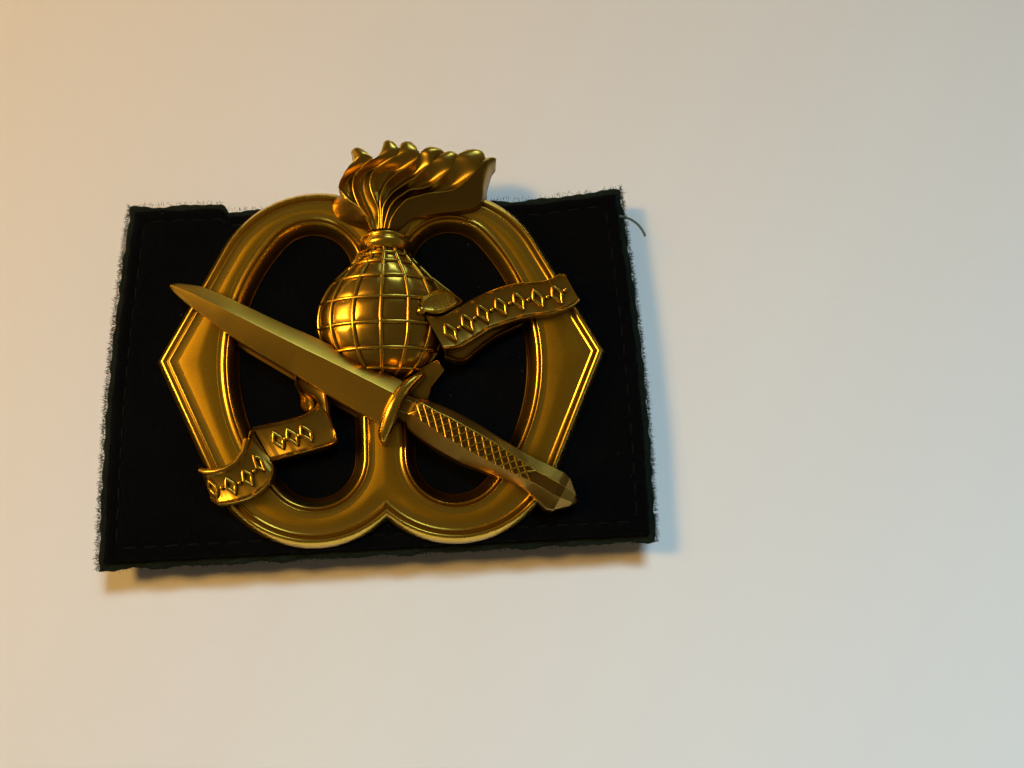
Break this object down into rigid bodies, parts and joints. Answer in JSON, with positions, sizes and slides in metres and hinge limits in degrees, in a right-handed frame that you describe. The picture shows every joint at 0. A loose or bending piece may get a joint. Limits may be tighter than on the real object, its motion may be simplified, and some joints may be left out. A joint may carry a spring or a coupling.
{
  "type": "cap badge",
  "caption": "Pierced brass cap badge with grenade, dagger and ribbon relief on a felt-faced cloth patch, held by two wire loops and a split pin.",
  "frame": {"origin": "middle of the badge on the back face of the cloth patch, where it lies on the cap", "axes": "+X to the viewer's right along the split pin, +Y to the top of the badge, +Z out of the badge's face towards the viewer"},
  "size_m": [0.0554, 0.0421, 0.0121],
  "materials": {
    "struck_brass": "worn polish with dark hollows",
    "wire_brass": "dull drawn wire",
    "solder": "dull soft solder",
    "black_felt": "milled wool felt with lint",
    "green_cloth": "woollen cloth with fuzzy cut edges",
    "sewing_thread": "matt cotton",
    "green_thread": "matt wool yarn",
    "pin_brass": "half-round drawn wire"
  },
  "bodies": {
    "patch": {"felt_patch": "black_felt", "cloth_backing": "green_cloth", "seam_stitches": "sewing_thread", "thread_tail": "green_thread"},
    "badge": {"struck_shell": "struck_brass", "loop_left": "wire_brass", "loop_right": "wire_brass", "solder_left": "solder", "solder_right": "solder"},
    "pin": {"split_pin": "pin_brass"}
  },
  "joints": [
    {"name": "badge_lift", "type": "slide", "parent": "patch", "child": "badge", "axis": [0, 0, 1], "range_m": [0, 0.0021]},
    {"name": "pin_slide", "type": "slide", "parent": "badge", "child": "pin", "axis": [1, 0, 0], "range_m": [0, 0.04]}
  ]
}
